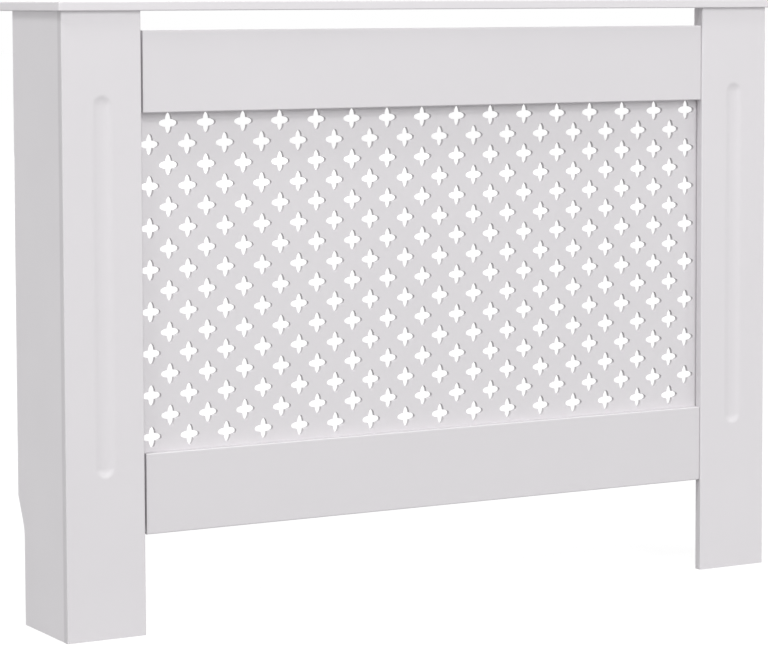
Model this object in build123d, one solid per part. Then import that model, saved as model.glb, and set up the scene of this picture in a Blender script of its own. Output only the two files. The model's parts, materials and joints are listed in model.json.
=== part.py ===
from build123d import *
import math
import os

# Radiator cover cabinet: painted boards with a pierced grille, open at the back and at the bottom.
# Millimetres. X runs to the right as seen from the front, Y from the front to the wall, Z up.
# The origin is on the floor, under the centre of the outer box.

# ---- Driving dimensions ----

# Outer box and shelf
top_length = 1100.0
top_depth = 200.0
top_thickness = 12.0
overall_height = 815.0
side_overhang = 4.0
front_overhang = 4.0
top_edge_radius = 1.5
top_corner_radius = 2.5

# Uprights
pilaster_width = 110.0
pilaster_thickness = 12.0
pilaster_edge_radius = 2.0
side_thickness = 12.0
side_width = 146.0
board_arris = 0.4

# Flute routed in each pilaster: a cove between two rounded lips, with a narrow flat along its bottom
flute_width = 29.0
flute_depth = 2.0
flute_flat_half_width = 1.5
flute_lip_radius = 14.0
flute_bottom_height = 207.0
flute_top_drop = 105.0

# Cut-out for the skirting board at the back of each side panel
skirting_height = 127.0
skirting_depth = 20.0
skirting_ramp_rise = 42.0
skirting_corner_radius = 56.0

# Rails
top_rail_height = 105.0
bottom_rail_height = 105.0
rail_thickness = 12.0
rail_setback = 3.0
rail_gap_left = 3.5
rail_gap_right = 0.5
rail_edge_radius = 1.5
air_slot_height = 25.0
floor_gap_height = 130.0

# Grille panel and its holes: four rounded lobes each, in rows that are staggered by half a step
grille_thickness = 5.0
grille_lap_on_rail = 25.0
grille_lap_on_pilaster = 20.0
hole_half_step = 27.0
hole_reach = 13.5
hole_lobe_half_width = 4.8
hole_tip_radius = 3.2
hole_flank_radius = 14.0
first_row_drop = 14.0
last_row_clearance = 15.0
end_column_clearance = 16.0

# Corner battens
batten_size = 20.0
batten_edge_radius = 1.5
batten_floor_gap = 20.0
batten_top_gap = 3.0
batten_screw_end_distance = 80.0
batten_screws_each_way = 4
batten_screw_stagger = 20.0

# Stepped cleats that tie the rails to the pilasters
cleat_half_length = 45.0
cleat_height = 68.0
cleat_thickness = 10.0
cleat_grille_gap = 3.0
cleat_screw_x = 22.0
cleat_screw_z = 20.0
cleat_edge_chamfer = 1.5

# Countersunk screws
screw_shank_radius = 1.75
screw_head_radius = 3.5
screw_head_height = 2.0
screw_tip_length = 3.0
screw_tip_radius = 0.3
batten_screw_length = 30.0
cleat_screw_length = 20.0
recess_width = 0.8
recess_length = 3.4
recess_depth = 1.2

# Pan head screws
pan_head_radius = 3.2
pan_head_height = 1.9
pan_head_edge_radius = 0.9
grille_screw_length = 12.0
grille_screws_per_rail = 7
grille_screw_edge_distance = 12.0
bracket_screw_length = 12.0

# Dowels
dowel_radius = 3.0
dowel_length = 25.0
dowel_chamfer = 0.8
dowel_depth_in_board_face = 8.0
pilaster_dowel_edge_distance = 25.0
side_dowel_end_distance = 160.0
side_dowel_count = 3

# Cam locks and cam bolts
cam_radius = 7.4
cam_height = 9.2
cam_bore_depth = 9.5
cam_drop = 34.0
cam_front_distance = 33.0
cam_rear_distance = 32.0
cam_front_wall = 2.6
cam_cavity_radius = 4.6
cam_cavity_offset = 0.7
cam_slot_half_width = 1.8
cam_entry_radius = 3.3
cam_drive_width = 1.1
cam_drive_length = 6.5
cam_drive_depth = 1.2
bolt_head_radius = 3.0
bolt_head_bottom = -1.5
bolt_head_shoulder = 1.0
bolt_neck_start = 3.2
bolt_neck_radius = 1.5
bolt_neck_length = 6.0
bolt_shank_radius = 3.0
bolt_thread_radius = 2.5
bolt_thread_root_radius = 2.0
bolt_thread_length = 8.0
bolt_thread_pitch = 1.6

# Wall brackets
bracket_thickness = 2.0
bracket_height = 20.0
bracket_lap_on_side = 36.0
bracket_wall_leg = 30.0
bracket_outer_radius = 13.0
bracket_corner_radius = 4.0
bracket_below_top = 70.0
bracket_wall_hole_radius = 2.5
bracket_wall_hole_distance = 18.0
bracket_screw_hole_clearance = 0.15
bracket_screw_edge_distance = 10.0
bracket_screw_spacing = 16.0

# Clearances
screw_clearance = 0.05
dowel_clearance = 0.05
dowel_end_clearance = 0.5
cam_clearance = 0.1
bolt_clearance = 0.1

# ---- Places worked out from the driving dimensions ----

front_y = -top_depth / 2 + front_overhang
wall_y = top_depth / 2
body_top_z = overall_height - top_thickness
outer_x = top_length / 2 - side_overhang
opening_x = outer_x - pilaster_width

pilaster_back_y = front_y + pilaster_thickness
side_inner_x = outer_x - side_thickness
side_mid_x = outer_x - side_thickness / 2
side_back_y = pilaster_back_y + side_width

rail_front_y = front_y + rail_setback
rail_back_y = rail_front_y + rail_thickness
top_rail_top_z = body_top_z - air_slot_height
top_rail_bottom_z = top_rail_top_z - top_rail_height
bottom_rail_bottom_z = floor_gap_height
bottom_rail_top_z = bottom_rail_bottom_z + bottom_rail_height

grille_bottom_z = bottom_rail_top_z - grille_lap_on_rail
grille_top_z = top_rail_bottom_z + grille_lap_on_rail
grille_half_length = opening_x + grille_lap_on_pilaster

batten_bottom_z = batten_floor_gap
batten_top_z = body_top_z - batten_top_gap
batten_mid_x = side_inner_x - batten_size / 2
batten_mid_y = pilaster_back_y + batten_size / 2

cleat_back_y = rail_back_y + cleat_thickness
top_cleat_z = grille_top_z + cleat_grille_gap + cleat_height / 2
bottom_cleat_z = grille_bottom_z - cleat_grille_gap - cleat_height / 2

cam_z = body_top_z - cam_drop
cam_front_y = pilaster_back_y + cam_front_distance
cam_rear_y = side_back_y - cam_rear_distance
cam_bottom_play = (cam_bore_depth - cam_height) / 2

bracket_z = body_top_z - bracket_below_top
bracket_front_y = side_back_y - bracket_lap_on_side

# Directions in which a screw's head can face, as rotations of one that faces +Z
facing_back = Rot(-90, 0, 0)
facing_right = Rot(0, 90, 0)


# ---- Shared shapes ----


def block(x_limits, y_limits, z_limits):
    """A box between two limits on each axis."""
    size = [high - low for low, high in (x_limits, y_limits, z_limits)]
    middle = [(high + low) / 2 for low, high in (x_limits, y_limits, z_limits)]
    return Pos(*middle) * Box(*size)


def turned(points):
    """A solid of revolution about Z from a closed outline of radius and height."""
    return revolve(Plane.XZ * make_face(Polyline(*points, close=True)), Axis.Z)


def spread(first, last, count):
    """Evenly spaced values from first to last."""
    return [first + (last - first) * k / (count - 1) for k in range(count)]


def to_right(shape):
    """The mirror image of a left-hand piece."""
    return mirror(shape, about=Plane.YZ)


def save(shape, name):
    """Writes one named piece, or one group of like fasteners."""
    solids = shape.solids() if hasattr(shape, "solids") else [s for part in shape for s in part.solids()]
    group = Compound(children=list(solids)) if len(solids) > 1 else solids[0]
    group.label = name
    export_step(group, f"parts/{name}.step")


# ---- Fasteners, each made once about Z with its head facing up, and the holes that they need ----


def cross_recess(width, length, depth):
    """The driver's cross, cut down from height zero."""
    arm = block((-length / 2, length / 2), (-width / 2, width / 2), (-depth, depth))
    return arm + Rot(0, 0, 90) * arm


def countersunk_outline(length, play):
    """Half outline of a countersunk screw, grown by the play where it cuts its hole."""
    return [
        (0, 0),
        (screw_head_radius + play, 0),
        (screw_shank_radius + play, -screw_head_height),
        (screw_shank_radius + play, screw_tip_length - length - play),
        (screw_tip_radius + play, -length - play),
        (0, -length - play),
    ]


def countersunk_screw(length):
    return turned(countersunk_outline(length, 0)) - cross_recess(recess_width, recess_length, recess_depth)


def countersunk_hole(length):
    return turned(countersunk_outline(length, screw_clearance))


def pan_screw(length):
    head = Pos(0, 0, pan_head_height / 2) * Cylinder(pan_head_radius, pan_head_height)
    head = fillet(head.edges().sort_by(Axis.Z)[-1], pan_head_edge_radius)
    shank = turned(
        [
            (0, 0),
            (screw_shank_radius, 0),
            (screw_shank_radius, screw_tip_length - length),
            (screw_tip_radius, -length),
            (0, -length),
        ]
    )
    return head + shank - Pos(0, 0, pan_head_height) * cross_recess(recess_width, recess_length, recess_depth)


def pan_hole(length):
    depth = length + screw_clearance
    return Pos(0, 0, -depth / 2) * Cylinder(screw_shank_radius + screw_clearance, depth)


def dowel():
    """A dowel about Z, from height zero up."""
    pin = Pos(0, 0, dowel_length / 2) * Cylinder(dowel_radius, dowel_length)
    return chamfer(pin.edges().filter_by(GeomType.CIRCLE), dowel_chamfer)


def dowel_hole():
    length = dowel_length + 2 * dowel_end_clearance
    return Pos(0, 0, dowel_length / 2) * Cylinder(dowel_radius + dowel_clearance, length)


# ---- Places of the fasteners on the left half, mirrored for the right ----

batten_side_screw_z = spread(
    batten_bottom_z + batten_screw_end_distance,
    batten_top_z - batten_screw_end_distance,
    batten_screws_each_way,
)
batten_front_screw_z = [z - batten_screw_stagger for z in batten_side_screw_z]

side_screw_places = [
    Pos(-side_inner_x + batten_size, batten_mid_y, z) * facing_right for z in batten_side_screw_z
]
front_screw_places = [
    Pos(-batten_mid_x, pilaster_back_y + batten_size, z) * facing_back for z in batten_front_screw_z
]
batten_screw_places = side_screw_places + front_screw_places

cleat_screw_places = [
    Pos(-opening_x + x, cleat_back_y, middle + z) * facing_back
    for middle in (top_cleat_z, bottom_cleat_z)
    for x in (-cleat_screw_x, cleat_screw_x)
    for z in (-cleat_screw_z, cleat_screw_z)
]

grille_screw_half_span = opening_x - cleat_half_length
grille_screw_places = [
    Pos(x, rail_back_y + grille_thickness, z) * facing_back
    for z in (top_rail_bottom_z + grille_screw_edge_distance, bottom_rail_top_z - grille_screw_edge_distance)
    for x in spread(-grille_screw_half_span, grille_screw_half_span, grille_screws_per_rail)
]

bracket_screw_places = [
    Pos(-side_inner_x + bracket_thickness, side_back_y - distance, bracket_z) * facing_right
    for distance in (bracket_screw_edge_distance, bracket_screw_edge_distance + bracket_screw_spacing)
]

dowel_bottom_z = body_top_z + dowel_depth_in_board_face - dowel_length
top_dowel_places = [
    Pos(-outer_x + pilaster_dowel_edge_distance, front_y + pilaster_thickness / 2, dowel_bottom_z),
    Pos(-opening_x - pilaster_dowel_edge_distance, front_y + pilaster_thickness / 2, dowel_bottom_z),
    Pos(-side_mid_x, (cam_front_y + cam_rear_y) / 2, dowel_bottom_z),
]

dowel_front_y = pilaster_back_y - dowel_depth_in_board_face
side_dowel_places = [
    Pos(-side_mid_x, dowel_front_y, z) * facing_back
    for z in spread(side_dowel_end_distance, body_top_z - side_dowel_end_distance, side_dowel_count)
]

cam_places = {"front": Pos(-side_mid_x, cam_front_y, cam_z), "rear": Pos(-side_mid_x, cam_rear_y, cam_z)}


# ---- Boards ----


def make_top_board():
    board = block((-top_length / 2, top_length / 2), (-top_depth / 2, wall_y), (body_top_z, overall_height))
    front_corners = board.edges().filter_by(Axis.Z).group_by(Axis.Y)[0]
    board = fillet(front_corners, top_corner_radius)
    level_edges = board.edges().filter_by(lambda edge: edge.bounding_box().size.Z < top_thickness / 2)
    shown_edges = level_edges.filter_by(lambda edge: edge.bounding_box().min.Y < wall_y - top_corner_radius)
    board = fillet(shown_edges, top_edge_radius)
    board = fillet(board.faces().sort_by(Axis.Y)[-1].edges(), board_arris)
    cuts = [place * dowel_hole() for place in top_dowel_places]
    cuts += [place * bolt_thread_hole() for place in cam_places.values()]
    return board - cuts - [to_right(cut) for cut in cuts]


def make_pilaster():
    """The left pilaster, with its flute and the blind holes in its back and top."""
    board = block((-outer_x, -opening_x), (front_y, pilaster_back_y), (0, body_top_z))
    board = fillet(board.edges().filter_by(Axis.Z).group_by(Axis.Y)[0], pilaster_edge_radius)
    board = fillet(board.faces().sort_by(Axis.Y)[-1].edges(), board_arris)
    board -= make_flute_cutter()
    cuts = [place * dowel_hole() for place in top_dowel_places[:2] + side_dowel_places]
    cuts += [place * countersunk_hole(batten_screw_length) for place in front_screw_places]
    cuts += [place * countersunk_hole(cleat_screw_length) for place in cleat_screw_places]
    return board - cuts


def make_flute_cutter():
    """A long round-ended cutter. The flat, the cove arc, the lip arc and the board's face meet smoothly."""
    half_width = flute_width / 2
    curve_width = half_width - flute_flat_half_width
    both_radii = (curve_width**2 + flute_depth**2) / (2 * flute_depth)
    cove_radius = both_radii - flute_lip_radius
    slope = math.atan2(curve_width, both_radii - flute_depth)

    def on_cove(angle):
        across = flute_flat_half_width + cove_radius * math.sin(angle)
        return (across, flute_depth - cove_radius * (1 - math.cos(angle)))

    def on_lip(angle):
        return (half_width - flute_lip_radius * math.sin(angle), flute_lip_radius * (1 - math.cos(angle)))

    half_outline = [
        Line((0, 0), (0, flute_depth)),
        Line((0, flute_depth), on_cove(0)),
        ThreePointArc(on_cove(0), on_cove(slope / 2), on_cove(slope)),
        ThreePointArc(on_cove(slope), on_lip(slope / 2), (half_width, 0)),
        Line((half_width, 0), (0, 0)),
    ]
    section = make_face(half_outline)
    low = flute_bottom_height + half_width
    high = body_top_z - flute_top_drop - half_width
    straight = extrude(section, high - low)
    end = revolve(section, Axis.Y)
    cutter = Pos(0, 0, low) * (straight + mirror(straight, about=Plane.YZ) + end) + Pos(0, 0, high) * end
    return Pos(-outer_x + pilaster_width / 2, front_y, 0) * cutter


def make_side_panel():
    """The left side panel: its outline in the YZ plane, then the bores from inside and from its edges."""
    notch_y = side_back_y - skirting_depth
    slant = math.atan2(skirting_depth, skirting_ramp_rise)
    tangent = skirting_corner_radius * math.tan(slant / 2)
    arc_start = (notch_y, skirting_height - tangent)
    arc_end = (notch_y + tangent * math.sin(slant), skirting_height + tangent * math.cos(slant))
    outline = [
        Polyline((pilaster_back_y, 0), (notch_y, 0), arc_start),
        TangentArc(arc_start, arc_end, tangent=(0, 1)),
        Polyline(
            arc_end,
            (side_back_y, skirting_height + skirting_ramp_rise),
            (side_back_y, body_top_z),
            (pilaster_back_y, body_top_z),
            (pilaster_back_y, 0),
        ),
    ]
    panel = extrude(Plane.YZ.offset(-outer_x) * make_face(outline), side_thickness)
    panel = fillet(panel.faces().filter_by(Axis.X).edges(), board_arris)
    cuts = [place * dowel_hole() for place in top_dowel_places[2:] + side_dowel_places]
    cuts += [place * countersunk_hole(batten_screw_length) for place in side_screw_places]
    cuts += [place * pan_hole(bracket_screw_length) for place in bracket_screw_places]
    for place in cam_places.values():
        cuts += [place * cam_bore(), place * bolt_bore()]
    return panel - cuts


def make_rail(bottom_z, height):
    """A rail between the pilasters, with its shown edges eased and the screw holes in its back."""
    ends = (-opening_x + rail_gap_left, opening_x - rail_gap_right)
    rail = block(ends, (rail_front_y, rail_back_y), (bottom_z, bottom_z + height))
    rail = fillet(rail.edges().filter_by(Axis.X).group_by(Axis.Y)[0], rail_edge_radius)
    rail = fillet(rail.faces().sort_by(Axis.Y)[-1].edges(), board_arris)
    cuts = [place * countersunk_hole(cleat_screw_length) for place in cleat_screw_places]
    cuts += [to_right(cut) for cut in cuts]
    cuts += [place * pan_hole(grille_screw_length) for place in grille_screw_places]
    return rail - cuts


def make_batten():
    """The left corner batten, screwed both ways."""
    x_limits = (-side_inner_x, -side_inner_x + batten_size)
    y_limits = (pilaster_back_y, pilaster_back_y + batten_size)
    batten = block(x_limits, y_limits, (batten_bottom_z, batten_top_z))
    batten = fillet(batten.edges().filter_by(Axis.Z), batten_edge_radius)
    return batten - [place * countersunk_hole(batten_screw_length) for place in batten_screw_places]


def make_cleat(middle_z):
    """A left-hand cleat, stepped so that it bears on the pilaster's back and on the rail's back."""
    outline = Polyline(
        (-opening_x - cleat_half_length, pilaster_back_y),
        (-opening_x, pilaster_back_y),
        (-opening_x, rail_back_y),
        (-opening_x + cleat_half_length, rail_back_y),
        (-opening_x + cleat_half_length, cleat_back_y),
        (-opening_x - cleat_half_length, cleat_back_y),
        close=True,
    )
    cleat = extrude(Plane.XY.offset(middle_z - cleat_height / 2) * make_face(outline), cleat_height)
    cleat = chamfer(cleat.faces().sort_by(Axis.Y)[-1].edges(), cleat_edge_chamfer)
    return cleat - [place * countersunk_hole(cleat_screw_length) for place in cleat_screw_places]


# ---- Grille ----


def make_hole_outline():
    """One hole about the origin: each lobe has two flank arcs that meet a tip arc smoothly."""
    tip_x = hole_reach - hole_tip_radius
    flank_y = hole_lobe_half_width - hole_flank_radius
    run = math.sqrt((hole_flank_radius - hole_tip_radius) ** 2 - flank_y**2)
    flank_x = tip_x - run
    joint_angle = math.atan2(-flank_y, run)
    total = flank_x + flank_y
    corner = (total + math.sqrt(2 * hole_flank_radius**2 - (flank_x - flank_y) ** 2)) / 2
    corner_angle = math.atan2(corner - flank_y, corner - flank_x)

    def on_flank(angle):
        return (flank_x + hole_flank_radius * math.cos(angle), flank_y + hole_flank_radius * math.sin(angle))

    joint = on_flank(joint_angle)
    middle = on_flank((joint_angle + corner_angle) / 2)
    lobe = [
        ThreePointArc((corner, -corner), (middle[0], -middle[1]), (joint[0], -joint[1])),
        ThreePointArc((joint[0], -joint[1]), (hole_reach, 0), joint),
        ThreePointArc(joint, middle, (corner, corner)),
    ]
    return Wire([Rot(0, 0, quarter * 90) * arc for quarter in range(4) for arc in lobe])


def make_grille():
    """A thin board pierced by a staggered field of holes, centred between the pilasters."""
    room = 2 * (opening_x - end_column_clearance)
    columns = int(room // hole_half_step) + 1
    depth_of_field = top_rail_bottom_z - bottom_rail_top_z - first_row_drop - last_row_clearance
    rows = int(depth_of_field // hole_half_step) + 1
    first_x = -(columns - 1) * hole_half_step / 2
    first_z = top_rail_bottom_z - first_row_drop
    hole = make_hole_outline()
    holes = [
        Pos(first_x + column * hole_half_step, first_z - row * hole_half_step) * hole
        for row in range(rows)
        for column in range((row + 1) % 2, columns, 2)
    ]
    screw_circle = Wire(Edge.make_circle(screw_shank_radius + screw_clearance))
    holes += [Pos(place.position.X, place.position.Z) * screw_circle for place in grille_screw_places]
    middle_z = (grille_top_z + grille_bottom_z) / 2
    edge = Pos(0, middle_z) * Rectangle(2 * grille_half_length, grille_top_z - grille_bottom_z)
    sheet = extrude(Face(edge.wire(), holes), -grille_thickness)
    return Pos(0, rail_back_y, 0) * Rot(90, 0, 0) * sheet


# ---- Cam locks: a drum on an axis along X, whose slot draws in the head of a bolt from above ----


def cam_bore():
    """The blind bore in the left side panel, about the bolt's line, open towards the cabinet's inside."""
    middle = (side_thickness - cam_bore_depth) / 2
    return Pos(middle, 0, 0) * Rot(0, 90, 0) * Cylinder(cam_radius + cam_clearance, cam_bore_depth)


def bolt_bore():
    """The bore down the panel's edge to the drum."""
    return Pos(0, 0, cam_drop / 2) * Cylinder(bolt_shank_radius + bolt_clearance, cam_drop)


def bolt_thread_hole():
    depth = bolt_thread_length + bolt_clearance
    return Pos(0, 0, cam_drop + depth / 2) * Cylinder(bolt_thread_radius + bolt_clearance, depth)


def make_cam():
    """A locked drum in a left-hand bore. Its slot opens as it turns about +X, and lets go at half a turn."""
    front = side_thickness / 2 - cam_bottom_play
    back = front - cam_height
    cavity_front = front - cam_front_wall
    along_x = Rot(0, 90, 0)
    drum = Pos((front + back) / 2, 0, 0) * along_x * Cylinder(cam_radius, cam_height)
    drum = chamfer(drum.edges().filter_by(GeomType.CIRCLE).sort_by(Axis.X)[-1], cam_clearance * 4)
    cavity = along_x * Cylinder(cam_cavity_radius, cavity_front - back)
    cavity = Pos((cavity_front + back) / 2, 0, -cam_cavity_offset) * cavity
    slot_x = (-cam_slot_half_width, cam_slot_half_width)
    sweep = block(slot_x, (0, 2 * cam_radius), (-2 * cam_radius, 2 * cam_radius))
    locked_end = block(slot_x, (-cam_slot_half_width, 0), (0, 2 * cam_radius))
    entry = Pos(0, 0, -cam_radius) * Cylinder(cam_entry_radius, 2 * cam_radius)
    drive = Pos(front, 0, 0) * along_x * cross_recess(cam_drive_width, cam_drive_length, cam_drive_depth)
    return drum - [cavity, sweep, locked_end, entry, drive]


def make_bolt():
    """A cam bolt about Z, with height zero on the drum's axis: head, neck, shank and thread."""
    neck_end = bolt_neck_start + bolt_neck_length
    outline = [
        (0, bolt_head_bottom),
        (bolt_head_radius, bolt_head_bottom),
        (bolt_head_radius, bolt_head_shoulder),
        (bolt_neck_radius, bolt_neck_start),
        (bolt_neck_radius, neck_end),
        (bolt_shank_radius, neck_end),
        (bolt_shank_radius, cam_drop),
        (bolt_thread_root_radius, cam_drop),
    ]
    ridges = int(bolt_thread_length // bolt_thread_pitch)
    for ridge in range(ridges):
        foot = cam_drop + ridge * bolt_thread_pitch
        outline += [(bolt_thread_radius, foot + bolt_thread_pitch / 2)]
        outline += [(bolt_thread_root_radius, foot + bolt_thread_pitch)]
    outline += [(0, cam_drop + ridges * bolt_thread_pitch)]
    return turned(outline)


# ---- Wall brackets ----


def make_bracket():
    """The left wall bracket: a strip with a wide bend, from the side panel's inner face to the wall."""
    side_x = -side_inner_x
    bend = (side_x, wall_y)
    outline = Polyline(
        (side_x, bracket_front_y),
        bend,
        (side_x + bracket_wall_leg, wall_y),
        (side_x + bracket_wall_leg, wall_y - bracket_thickness),
        (side_x + bracket_thickness, wall_y - bracket_thickness),
        (side_x + bracket_thickness, bracket_front_y),
        close=True,
    )
    strip = extrude(Plane.XY.offset(bracket_z - bracket_height / 2) * make_face(outline), bracket_height)
    inner_corner = (side_x + bracket_thickness, wall_y - bracket_thickness, bracket_z)
    outer_corner = (side_x, wall_y, bracket_z)
    inner_edge = strip.edges().filter_by(Axis.Z).sort_by_distance(inner_corner)[0]
    strip = fillet(inner_edge, bracket_outer_radius - bracket_thickness)
    outer_edge = strip.edges().filter_by(Axis.Z).sort_by_distance(outer_corner)[0]
    strip = fillet(outer_edge, bracket_outer_radius)
    side_leg_corners = strip.edges().filter_by(Axis.X).group_by(Axis.Y)[0]
    strip = fillet(side_leg_corners, bracket_corner_radius)
    wall_leg_corners = strip.edges().filter_by(Axis.Y).group_by(Axis.X)[-1]
    strip = fillet(wall_leg_corners, bracket_corner_radius)
    hole_x = side_x + bracket_wall_hole_distance
    wall_hole = Cylinder(bracket_wall_hole_radius, 4 * bracket_thickness)
    wall_hole = Pos(hole_x, wall_y, bracket_z) * facing_back * wall_hole
    screw_hole = Cylinder(screw_shank_radius + bracket_screw_hole_clearance, 4 * bracket_thickness)
    return strip - wall_hole - [place * screw_hole for place in bracket_screw_places]


# ---- Build every piece and write it out ----


def both_sides(places, piece):
    """A like piece at each left-hand place, and its mirror image on the right."""
    left = [place * piece for place in places]
    return left + [to_right(one) for one in left]


def main():
    os.makedirs("parts", exist_ok=True)
    save(make_top_board(), "top_board")
    save(make_rail(top_rail_bottom_z, top_rail_height), "top_rail")
    save(make_rail(bottom_rail_bottom_z, bottom_rail_height), "bottom_rail")
    save(make_grille(), "grille_panel")
    left_pieces = {
        "side_panel": make_side_panel(),
        "pilaster": make_pilaster(),
        "corner_batten": make_batten(),
        "wall_bracket": make_bracket(),
        "rail_cleat_top": make_cleat(top_cleat_z),
        "rail_cleat_bottom": make_cleat(bottom_cleat_z),
    }
    for name, piece in left_pieces.items():
        save(piece, f"{name}_left")
        save(to_right(piece), f"{name}_right")
    save(both_sides(batten_screw_places, countersunk_screw(batten_screw_length)), "batten_screws")
    save(both_sides(cleat_screw_places, countersunk_screw(cleat_screw_length)), "cleat_screws")
    save([place * pan_screw(grille_screw_length) for place in grille_screw_places], "grille_screws")
    save(both_sides(bracket_screw_places, pan_screw(bracket_screw_length)), "bracket_screws")
    save(both_sides(top_dowel_places, dowel()), "top_dowels")
    save(both_sides(side_dowel_places, dowel()), "side_dowels")
    save(both_sides(cam_places.values(), make_bolt()), "cam_bolts")
    for name, place in cam_places.items():
        cam = place * make_cam()
        half_turn = Rot(0, 0, 180)
        save(cam, f"cam_lock_left_{name}")
        right_place = Pos(side_mid_x, place.position.Y, place.position.Z)
        save(right_place * half_turn * make_cam(), f"cam_lock_right_{name}")


main()
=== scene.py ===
import json
import math

import bmesh
import bpy
from mathutils import Matrix, Vector

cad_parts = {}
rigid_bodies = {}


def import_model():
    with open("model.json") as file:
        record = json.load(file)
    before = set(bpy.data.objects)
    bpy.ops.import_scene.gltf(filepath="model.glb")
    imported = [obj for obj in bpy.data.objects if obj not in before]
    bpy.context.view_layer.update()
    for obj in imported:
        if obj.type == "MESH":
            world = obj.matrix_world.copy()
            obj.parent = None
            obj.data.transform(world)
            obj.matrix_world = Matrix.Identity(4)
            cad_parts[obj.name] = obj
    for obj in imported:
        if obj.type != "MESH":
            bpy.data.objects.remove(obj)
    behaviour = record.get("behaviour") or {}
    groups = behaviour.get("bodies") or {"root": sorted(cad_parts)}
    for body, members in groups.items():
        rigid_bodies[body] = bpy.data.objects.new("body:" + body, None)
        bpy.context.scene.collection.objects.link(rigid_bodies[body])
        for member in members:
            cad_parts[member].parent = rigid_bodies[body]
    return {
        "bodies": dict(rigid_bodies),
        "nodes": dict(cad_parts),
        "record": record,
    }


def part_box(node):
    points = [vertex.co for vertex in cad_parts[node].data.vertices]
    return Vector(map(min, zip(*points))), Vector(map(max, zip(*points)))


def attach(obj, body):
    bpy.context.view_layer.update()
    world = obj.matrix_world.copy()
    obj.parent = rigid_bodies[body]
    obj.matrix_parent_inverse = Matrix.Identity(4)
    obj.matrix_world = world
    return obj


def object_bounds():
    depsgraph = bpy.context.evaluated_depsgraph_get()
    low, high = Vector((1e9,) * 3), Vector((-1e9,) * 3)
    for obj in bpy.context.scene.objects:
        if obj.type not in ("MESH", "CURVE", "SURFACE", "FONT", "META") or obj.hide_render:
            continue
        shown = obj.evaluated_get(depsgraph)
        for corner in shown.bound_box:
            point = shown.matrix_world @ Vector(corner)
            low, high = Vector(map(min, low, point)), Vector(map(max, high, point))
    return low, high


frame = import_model()
cad_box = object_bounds()

# Radiator cover cabinet: painted boards with a pierced grille. Metres. X runs to the right as seen from the
# front, Y from the front to the wall, Z up.

# ---- The photograph's view ----

IMAGE_WIDTH = 768
IMAGE_MIDDLE_ROW = 323.0
PRINCIPAL_ROW = 220.0
FOCAL_LENGTH_PIXELS = 2985.342
SENSOR_WIDTH_MM = 36.0
CAMERA_PLACE = Vector((-2.0382, -3.5543, 0.8160))
CAMERA_YAW = math.radians(-29.491)
CAMERA_PITCH = math.radians(-4.221)
CAMERA_ROLL = math.radians(-0.191)
CAMERA_REACH = 100.0

# ---- Light ----

WORLD_STRENGTH = 0.59
# Each lamp: size and distance in metres, power in watts, and the direction that it shines from
LAMPS = {
    "front": (1.2, 10.0, 102.0, Vector((0.03, -0.82, 0.57))),
    "front_low": (1.2, 10.0, 110.0, Vector((-0.05, -0.94, 0.34))),
    "front_left": (1.2, 10.0, 187.0, Vector((-0.35, -0.62, 0.70))),
    "overhead_left": (1.2, 10.0, 304.0, Vector((-0.34, -0.15, 0.93))),
    "right": (1.2, 10.0, 61.0, Vector((0.55, -0.45, 0.70))),
    "behind": (3.0, 12.0, 355.0, Vector((0.30, 0.94, 0.14))),
}

# ---- Colours, as linear values ----

WHITE = (1.0, 1.0, 1.0)

PAINT = (0.820, 0.797, 0.820)
THIN_COAT_TONE = 0.985
# Painted light and shade: how much darker or lighter than the paint each board's faces, long edges and ends
# are
BOARD_LIGHT_AND_SHADE = {
    "top_board": 0.945,
    "side_panel_left": 1.05,
    "side_panel_right": 1.05,
    "pilaster_right": 1.015,
    "top_rail": 0.98,
    "bottom_rail": 0.965,
    "grille_panel": 0.96,
}
# Painted shade on the bottom rail's top edge and the grille's hole walls, and a painted highlight on the
# shelf's edges
EDGE_LIGHT_AND_SHADE = {"top_board": 1.03, "bottom_rail": 0.74, "grille_panel": 0.84}
# Painted highlight on the shelf's two ends
END_PAINTED_HIGHLIGHT = {"top_board": 1.16}
USUAL_BOARD_LIGHT_AND_SHADE = 1.0
# Edges are darker than the faces: partly the thinner coat on cut edges, partly painted shade
USUAL_EDGE_SHADE = 0.92

PINE_PALE = (0.640, 0.455, 0.265)
PINE_RING = (0.500, 0.305, 0.150)
PINE_YELLOW = (0.700, 0.530, 0.330)
PINE_FIBRE = (0.420, 0.255, 0.130)

BEECH_PALE = (0.600, 0.420, 0.260)
BEECH_PINK = (0.540, 0.360, 0.215)
BEECH_FLECK = (0.330, 0.190, 0.100)

PLATING_BLUE = (0.640, 0.655, 0.690)
PLATING_GREY = (0.720, 0.720, 0.710)
CASTING_DARK = (0.480, 0.480, 0.500)
CASTING_PALE = (0.560, 0.560, 0.570)

# The floor gives the object the light of a mid grey one, and is itself seen as nearly white
FLOOR = (0.355, 0.355, 0.355)
FLOOR_AS_SEEN = (0.16, 0.16, 0.16)
FLOOR_LIFT = 0.905
FLOOR_REACH = 40.0

# ---- Paint on the boards ----

# A board's edge, end and face colours blend into each other as the surface turns towards an axis, over this
# range of its normal's part along that axis
NORMAL_BLEND_START = 0.35
NORMAL_BLEND_END = 0.65
PAINT_EDGE_RADIUS = 0.0004
ORANGE_PEEL_HEIGHT = 0.00004
FIBRE_HEIGHT = 0.00007
EDGE_EXTRA_ROUGHNESS = 0.16

# ---- The arrow on each cam lock's face ----

ARROW_NEAR = 0.0039
ARROW_FAR = 0.0066
ARROW_HEAD_LENGTH = 0.0014
ARROW_HEAD_HALF_WIDTH = 0.0013
ARROW_SHAFT_HALF_WIDTH = 0.0005
ARROW_RISE = 0.00025
ARROW_BEVEL = 0.00008
ARROW_BEVEL_STEPS = 2


# ---- Node trees ----


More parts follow.
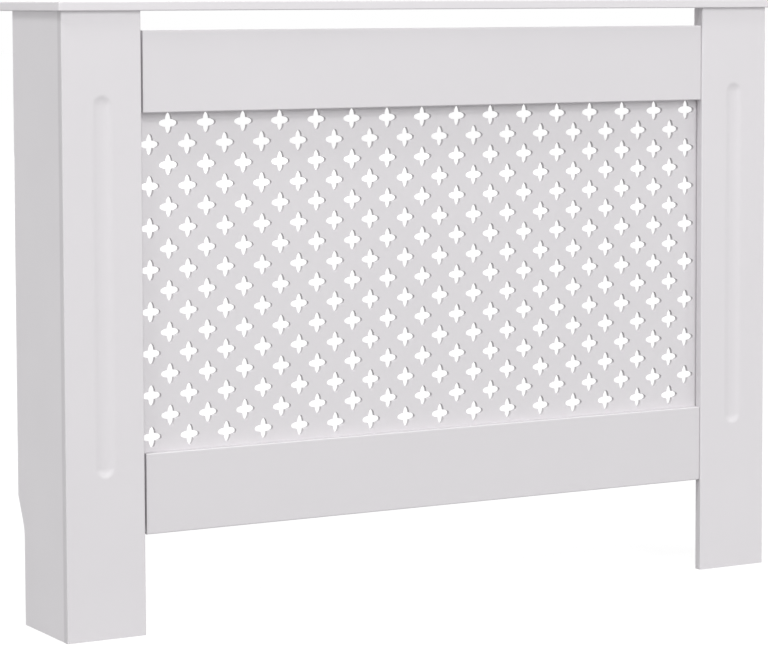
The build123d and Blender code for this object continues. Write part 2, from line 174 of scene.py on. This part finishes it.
class Nodes:
    """The node tree of a material or a world, with short calls that add and join nodes."""

    def __init__(self, owner, output_kind):
        owner.use_nodes = True
        self.owner = owner
        self.tree = owner.node_tree
        self.tree.nodes.clear()
        self.output = self.add(output_kind)

    def add(self, kind, **settings):
        """Adds a node. A setting names an input, with _ for a space, or else an attribute."""
        node = self.tree.nodes.new(kind)
        for name, value in settings.items():
            input_name = name.replace("_", " ")
            if input_name in node.inputs:
                self.feed(value, node.inputs[input_name])
            else:
                setattr(node, name, value)
        return node

    def join(self, source, target):
        self.tree.links.new(source, target)

    def feed(self, value, socket):
        """Joins another node's output to a socket, or sets the socket to a number, a vector or a colour."""
        if isinstance(value, bpy.types.NodeSocket):
            self.join(value, socket)
        elif socket.type == "RGBA":
            socket.default_value = (*value, 1.0)
        else:
            socket.default_value = value

    def place(self, scale=(1.0, 1.0, 1.0)):
        """Object coordinates in metres, stretched."""
        coordinates = self.add("ShaderNodeTexCoord")
        mapping = self.add("ShaderNodeMapping", Vector=coordinates.outputs["Object"], Scale=scale)
        return mapping.outputs["Vector"]

    def facing(self, axis):
        """How squarely the surface faces along one of the object's axes, from 0 to 1."""
        coordinates = self.add("ShaderNodeTexCoord")
        normal = self.add("ShaderNodeSeparateXYZ", Vector=coordinates.outputs["Normal"])
        return self.math("ABSOLUTE", normal.outputs[axis])

    def noise(self, place, scale, detail=2.0, roughness=0.5):
        node = self.add("ShaderNodeTexNoise", Vector=place, Scale=scale, Detail=detail, Roughness=roughness)
        return node.outputs["Fac"]

    def spread(self, value, low, high, start=0.3, end=0.7):
        """Maps the range start..end, which is usually a noise's middle range, to low..high."""
        node = self.add(
            "ShaderNodeMapRange", Value=value, From_Min=start, From_Max=end, To_Min=low, To_Max=high
        )
        return node.outputs["Result"]

    def math(self, operation, *values):
        node = self.add("ShaderNodeMath", operation=operation)
        for value, socket in zip(values, node.inputs):
            self.feed(value, socket)
        return node.outputs[0]

    def mix(self, factor, first, second):
        """Mixes two colours."""
        node = self.add("ShaderNodeMix", data_type="RGBA")
        self.feed(factor, node.inputs["Factor"])
        colour_inputs = [socket for socket in node.inputs if socket.type == "RGBA"]
        for value, socket in zip((first, second), colour_inputs):
            self.feed(value, socket)
        return next(socket for socket in node.outputs if socket.type == "RGBA")

    def bump(self, height, distance, **settings):
        return self.add("ShaderNodeBump", Height=height, Distance=distance, **settings).outputs["Normal"]

    def principled(self, colour, roughness, normal, **settings):
        """Joins a Principled shader to the output and returns the material."""
        shader = self.add(
            "ShaderNodeBsdfPrincipled", Base_Color=colour, Roughness=roughness, Normal=normal, **settings
        )
        self.join(shader.outputs["BSDF"], self.output.inputs["Surface"])
        return self.owner

    def seen_or_mirrored(self):
        """1 for a ray that comes from the camera or off a shiny surface, otherwise 0."""
        path = self.add("ShaderNodeLightPath")
        return self.math("MAXIMUM", path.outputs["Is Camera Ray"], path.outputs["Is Glossy Ray"])


def material_nodes(name):
    return Nodes(bpy.data.materials.new(name), "ShaderNodeOutputMaterial")


# ---- Materials ----


def shade(colour, tone):
    return tuple(tone * channel for channel in colour)


def paint_material(name, thickness_axis):
    """Sprayed satin white on fibreboard. The board's cut edges take the paint rougher."""
    board_light_and_shade = BOARD_LIGHT_AND_SHADE.get(name, USUAL_BOARD_LIGHT_AND_SHADE)
    edge_light_and_shade = EDGE_LIGHT_AND_SHADE.get(name, USUAL_EDGE_SHADE)
    end_light_and_shade = END_PAINTED_HIGHLIGHT.get(name, edge_light_and_shade)
    nodes = material_nodes(f"white_paint_{name}")
    place = nodes.place()
    edge = nodes.spread(nodes.facing(thickness_axis), 1.0, 0.0, NORMAL_BLEND_START, NORMAL_BLEND_END)
    end = nodes.spread(nodes.facing(0), 0.0, 1.0, NORMAL_BLEND_START, NORMAL_BLEND_END)

    coat = nodes.spread(nodes.noise(place, scale=6.0, detail=3.0), 0.0, 1.0)
    # The coat's thin and thick patches, with each board's painted light and shade
    face_colour = nodes.mix(coat, shade(PAINT, THIN_COAT_TONE * board_light_and_shade), shade(PAINT, board_light_and_shade))
    # Painted light and shade by which way the surface faces: the long edges and the ends take their own
    # tones
    edge_colour = nodes.mix(end, shade(PAINT, edge_light_and_shade), shade(PAINT, end_light_and_shade))
    colour = nodes.mix(edge, face_colour, edge_colour)

    sheen = nodes.spread(nodes.noise(place, scale=14.0), 0.36, 0.44)
    roughness = nodes.math("ADD", sheen, nodes.math("MULTIPLY", edge, EDGE_EXTRA_ROUGHNESS))

    softened = nodes.add("ShaderNodeBevel", samples=4, Radius=PAINT_EDGE_RADIUS)
    orange_peel = nodes.noise(place, scale=520.0, roughness=0.55)
    sprayed = nodes.bump(orange_peel, ORANGE_PEEL_HEIGHT, Normal=softened.outputs["Normal"])
    fibres = nodes.math("MULTIPLY", nodes.noise(place, scale=1400.0, detail=3.0, roughness=0.7), edge)
    surface = nodes.bump(fibres, FIBRE_HEIGHT, Normal=sprayed)
    return nodes.principled(colour, roughness, surface)


def softwood_material():
    """Planed pine, with its grain running up the piece."""
    nodes = material_nodes("softwood")
    place = nodes.place(scale=(1.0, 1.0, 0.045))
    rings = nodes.add(
        "ShaderNodeTexWave",
        wave_type="BANDS",
        bands_direction="DIAGONAL",
        Vector=place,
        Scale=95.0,
        Distortion=5.0,
        Detail=2.0,
        Detail_Scale=1.2,
    )
    band = nodes.spread(rings.outputs["Fac"], 0.0, 1.0, 0.15, 0.95)
    warmth = nodes.noise(place, scale=9.0, detail=3.0)
    fibres = nodes.noise(nodes.place(scale=(1.0, 1.0, 0.02)), scale=900.0, detail=3.0)
    ringed = nodes.mix(band, PINE_PALE, PINE_RING)
    warmed = nodes.mix(nodes.spread(warmth, 0.0, 0.45), ringed, PINE_YELLOW)
    colour = nodes.mix(nodes.spread(fibres, 0.0, 0.30), warmed, PINE_FIBRE)
    height = nodes.math("ADD", nodes.math("MULTIPLY", band, 0.4), fibres)
    surface = nodes.bump(height, distance=0.00012)
    return nodes.principled(colour, nodes.spread(fibres, 0.52, 0.68), surface)


def beech_material():
    """Bare beech with short dark flecks that run upwards."""
    nodes = material_nodes("beech")
    flecks = nodes.noise(nodes.place(scale=(1.0, 1.0, 0.12)), scale=1600.0)
    tone = nodes.noise(nodes.place(), scale=60.0)
    plain = nodes.mix(nodes.spread(tone, 0.0, 1.0), BEECH_PALE, BEECH_PINK)
    colour = nodes.mix(nodes.spread(flecks, 0.0, 0.5, 0.55, 0.8), plain, BEECH_FLECK)
    surface = nodes.bump(flecks, distance=0.00005)
    return nodes.principled(colour, nodes.spread(flecks, 0.5, 0.62), surface)


def zinc_plated_material():
    """Bright zinc plating with faint blue patches and fine level scratches."""
    nodes = material_nodes("zinc_plated_steel")
    patches = nodes.spread(nodes.noise(nodes.place(), scale=120.0, detail=3.0), 0.0, 1.0)
    scratches = nodes.noise(nodes.place(scale=(1.0, 1.0, 8.0)), scale=700.0)
    colour = nodes.mix(patches, PLATING_BLUE, PLATING_GREY)
    surface = nodes.bump(scratches, distance=0.00002)
    return nodes.principled(colour, nodes.spread(scratches, 0.26, 0.42), surface, Metallic=1.0)


def cast_zinc_material():
    """A tumbled zinc casting, dull and slightly pitted."""
    nodes = material_nodes("cast_zinc")
    place = nodes.place()
    pits = nodes.noise(place, scale=1500.0, detail=3.0, roughness=0.6)
    patches = nodes.spread(nodes.noise(place, scale=200.0), 0.0, 1.0)
    colour = nodes.mix(patches, CASTING_DARK, CASTING_PALE)
    surface = nodes.bump(pits, distance=0.00006)
    return nodes.principled(colour, nodes.spread(pits, 0.40, 0.55), surface, Metallic=1.0)


def thinnest_axis(node):
    return min(range(3), key=lambda axis: node.dimensions[axis])


def finish_nodes(bare_materials):
    """Gives every CAD node the finish of its slot in the record."""
    slots = {part["node"]: part["material_slot"] for part in frame["record"]["subparts"]}
    for name, node in frame["nodes"].items():
        if slots[name] == "white_paint":
            material = paint_material(name, thinnest_axis(node))
        else:
            material = bare_materials[slots[name]]
        node.data.materials.clear()
        node.data.materials.append(material)


# ---- Arrows ----


def make_arrow(cam_name, material):
    """A raised arrow that points to where the bolt goes in, which is down while the lock holds the bolt."""
    low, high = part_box(cam_name)
    outward = 1.0 if high.x < 0 else -1.0
    face_x = high.x if outward > 0 else low.x
    middle = (low + high) / 2
    neck = ARROW_FAR - ARROW_HEAD_LENGTH
    outline = [
        (-ARROW_SHAFT_HALF_WIDTH, ARROW_NEAR),
        (ARROW_SHAFT_HALF_WIDTH, ARROW_NEAR),
        (ARROW_SHAFT_HALF_WIDTH, neck),
        (ARROW_HEAD_HALF_WIDTH, neck),
        (0.0, ARROW_FAR),
        (-ARROW_HEAD_HALF_WIDTH, neck),
        (-ARROW_SHAFT_HALF_WIDTH, neck),
    ]
    shape = bmesh.new()
    foot = [shape.verts.new((face_x, middle.y + across, middle.z - down)) for across, down in outline]
    base = shape.faces.new(foot)
    raised = bmesh.ops.extrude_face_region(shape, geom=[base])
    top = [item for item in raised["geom"] if isinstance(item, bmesh.types.BMVert)]
    bmesh.ops.translate(shape, verts=top, vec=(outward * ARROW_RISE, 0.0, 0.0))
    rim = [edge for edge in shape.edges if all(vertex in top for vertex in edge.verts)]
    bmesh.ops.bevel(shape, geom=rim, offset=ARROW_BEVEL, segments=ARROW_BEVEL_STEPS, affect="EDGES")
    bmesh.ops.recalc_face_normals(shape, faces=shape.faces)
    mesh = bpy.data.meshes.new(f"{cam_name}_arrow")
    shape.to_mesh(mesh)
    shape.free()
    mesh.materials.append(material)
    arrow = bpy.data.objects.new(f"{cam_name}_arrow", mesh)
    bpy.context.scene.collection.objects.link(arrow)
    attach(arrow, cam_name)


def make_arrows(material):
    for body in frame["bodies"]:
        if body.startswith("cam_lock"):
            make_arrow(body, material)


# ---- Studio ----


def make_camera():
    forward = Vector(
        (
            math.sin(-CAMERA_YAW) * math.cos(CAMERA_PITCH),
            math.cos(-CAMERA_YAW) * math.cos(CAMERA_PITCH),
            math.sin(CAMERA_PITCH),
        )
    )
    level_right = Vector((math.cos(-CAMERA_YAW), -math.sin(-CAMERA_YAW), 0.0))
    level_up = level_right.cross(forward)
    right = math.cos(CAMERA_ROLL) * level_right + math.sin(CAMERA_ROLL) * level_up
    up = math.cos(CAMERA_ROLL) * level_up - math.sin(CAMERA_ROLL) * level_right
    camera_data = bpy.data.cameras.new("camera")
    camera_data.sensor_width = SENSOR_WIDTH_MM
    camera_data.lens = FOCAL_LENGTH_PIXELS * SENSOR_WIDTH_MM / IMAGE_WIDTH
    camera_data.shift_y = (PRINCIPAL_ROW - IMAGE_MIDDLE_ROW) / IMAGE_WIDTH
    camera_data.clip_end = CAMERA_REACH
    camera = bpy.data.objects.new("camera", camera_data)
    turn = Matrix((right, up, -forward)).transposed()
    camera.matrix_world = Matrix.Translation(CAMERA_PLACE) @ turn.to_4x4()
    bpy.context.scene.collection.objects.link(camera)
    bpy.context.scene.camera = camera


def make_lamps():
    """Soft lamps from the front, the sides and above, and a low one that fills the open back."""
    low, high = cad_box
    target = (low + high) / 2
    for name, (size, distance, power, towards) in LAMPS.items():
        data = bpy.data.lights.new(name, "AREA")
        data.shape = "SQUARE"
        data.size = size
        data.energy = power
        lamp = bpy.data.objects.new(name, data)
        lamp.location = target + distance * towards.normalized()
        lamp.rotation_mode = "QUATERNION"
        lamp.rotation_quaternion = (-towards).to_track_quat("-Z", "Y")
        bpy.context.scene.collection.objects.link(lamp)


def make_world():
    """White behind everything, and an even soft light from all round."""
    world = bpy.data.worlds.new("studio")
    bpy.context.scene.world = world
    nodes = Nodes(world, "ShaderNodeOutputWorld")
    strength = nodes.spread(nodes.seen_or_mirrored(), WORLD_STRENGTH, 1.0, 0.0, 1.0)
    background = nodes.add("ShaderNodeBackground", Color=WHITE, Strength=strength)
    nodes.join(background.outputs["Background"], nodes.output.inputs["Surface"])


def floor_material():
    nodes = material_nodes("floor_white")
    lit = nodes.add("ShaderNodeBsdfDiffuse", Color=FLOOR)
    shown = nodes.add("ShaderNodeBsdfDiffuse", Color=FLOOR_AS_SEEN)
    lift = nodes.add("ShaderNodeEmission", Color=WHITE, Strength=FLOOR_LIFT)
    lifted = nodes.add("ShaderNodeAddShader")
    nodes.join(shown.outputs["BSDF"], lifted.inputs[0])
    nodes.join(lift.outputs["Emission"], lifted.inputs[1])
    choice = nodes.add("ShaderNodeMixShader", Fac=nodes.seen_or_mirrored())
    nodes.join(lit.outputs["BSDF"], choice.inputs[1])
    nodes.join(lifted.outputs["Shader"], choice.inputs[2])
    nodes.join(choice.outputs["Shader"], nodes.output.inputs["Surface"])
    return nodes.owner


def make_floor():
    """A plain pale floor that reaches past the view on every side."""
    corners = [
        (-FLOOR_REACH, -FLOOR_REACH, 0.0),
        (FLOOR_REACH, -FLOOR_REACH, 0.0),
        (FLOOR_REACH, FLOOR_REACH, 0.0),
        (-FLOOR_REACH, FLOOR_REACH, 0.0),
    ]
    mesh = bpy.data.meshes.new("floor")
    mesh.from_pydata(corners, [], [(0, 1, 2, 3)])
    mesh.materials.append(floor_material())
    floor = bpy.data.objects.new("floor", mesh)
    bpy.context.scene.collection.objects.link(floor)


bpy.context.scene.view_settings.view_transform = "Standard"
make_camera()
make_world()
make_lamps()
make_floor()
materials = {
    "softwood": softwood_material(),
    "beech": beech_material(),
    "zinc_plated_steel": zinc_plated_material(),
    "cast_zinc": cast_zinc_material(),
}
make_arrows(materials["cast_zinc"])
finish_nodes(materials)
